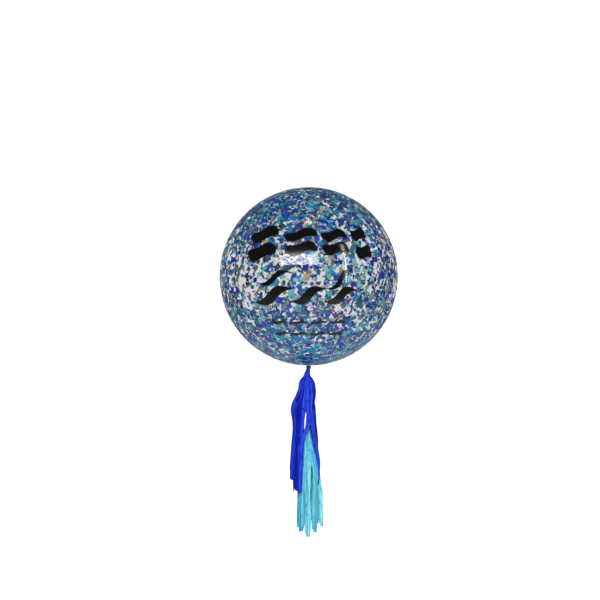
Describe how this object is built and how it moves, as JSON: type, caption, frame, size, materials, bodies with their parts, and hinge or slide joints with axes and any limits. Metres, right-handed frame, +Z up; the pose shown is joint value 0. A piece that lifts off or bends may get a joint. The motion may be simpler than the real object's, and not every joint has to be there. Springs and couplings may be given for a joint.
{
  "type": "clear bubble balloon with tassel tail",
  "caption": "Clear round bubble balloon filled with blue and aqua confetti, with plain black strokes on its front and a tail of royal blue and aqua tissue tassels tied under its neck.",
  "frame": {"origin": "the tie round the balloon's neck, just under the ball", "axes": "+Z up through the ball's middle, with the tail hanging towards -Z, and the strokes on the front facing -Y"},
  "size_m": [0.56, 0.56, 1.0895],
  "materials": {
    "clear_film": "clear glossy film",
    "black_vinyl": "glossy black sticker vinyl",
    "navy_ribbon": "satin ribbon",
    "royal_tissue": "crinkled tissue paper",
    "aqua_tissue": "crinkled tissue paper",
    "royal_confetti": "cut paper and film",
    "teal_confetti": "cut paper and film",
    "aqua_confetti": "cut paper and film",
    "pale_confetti": "cut paper and film"
  },
  "bodies": {
    "root": {"bubble": "clear_film", "top_stroke_1": "black_vinyl", "top_stroke_2": "black_vinyl", "top_stroke_3": "black_vinyl", "top_stroke_4": "black_vinyl", "top_stroke_5": "black_vinyl", "top_stroke_6": "black_vinyl", "top_stroke_7": "black_vinyl", "top_stroke_8": "black_vinyl", "middle_stroke_1": "black_vinyl", "middle_stroke_2": "black_vinyl", "middle_stroke_3": "black_vinyl", "middle_stroke_4": "black_vinyl", "middle_stroke_5": "black_vinyl", "bottom_stroke_1": "black_vinyl", "bottom_stroke_2": "black_vinyl", "bottom_stroke_3": "black_vinyl", "bottom_stroke_4": "black_vinyl", "bottom_stroke_5": "black_vinyl", "bottom_stroke_6": "black_vinyl", "bottom_stroke_7": "black_vinyl", "bottom_stroke_8": "black_vinyl", "tail_ribbon": "navy_ribbon", "royal_tassel": "royal_tissue", "aqua_tassel": "aqua_tissue"}
  },
  "joints": []
}
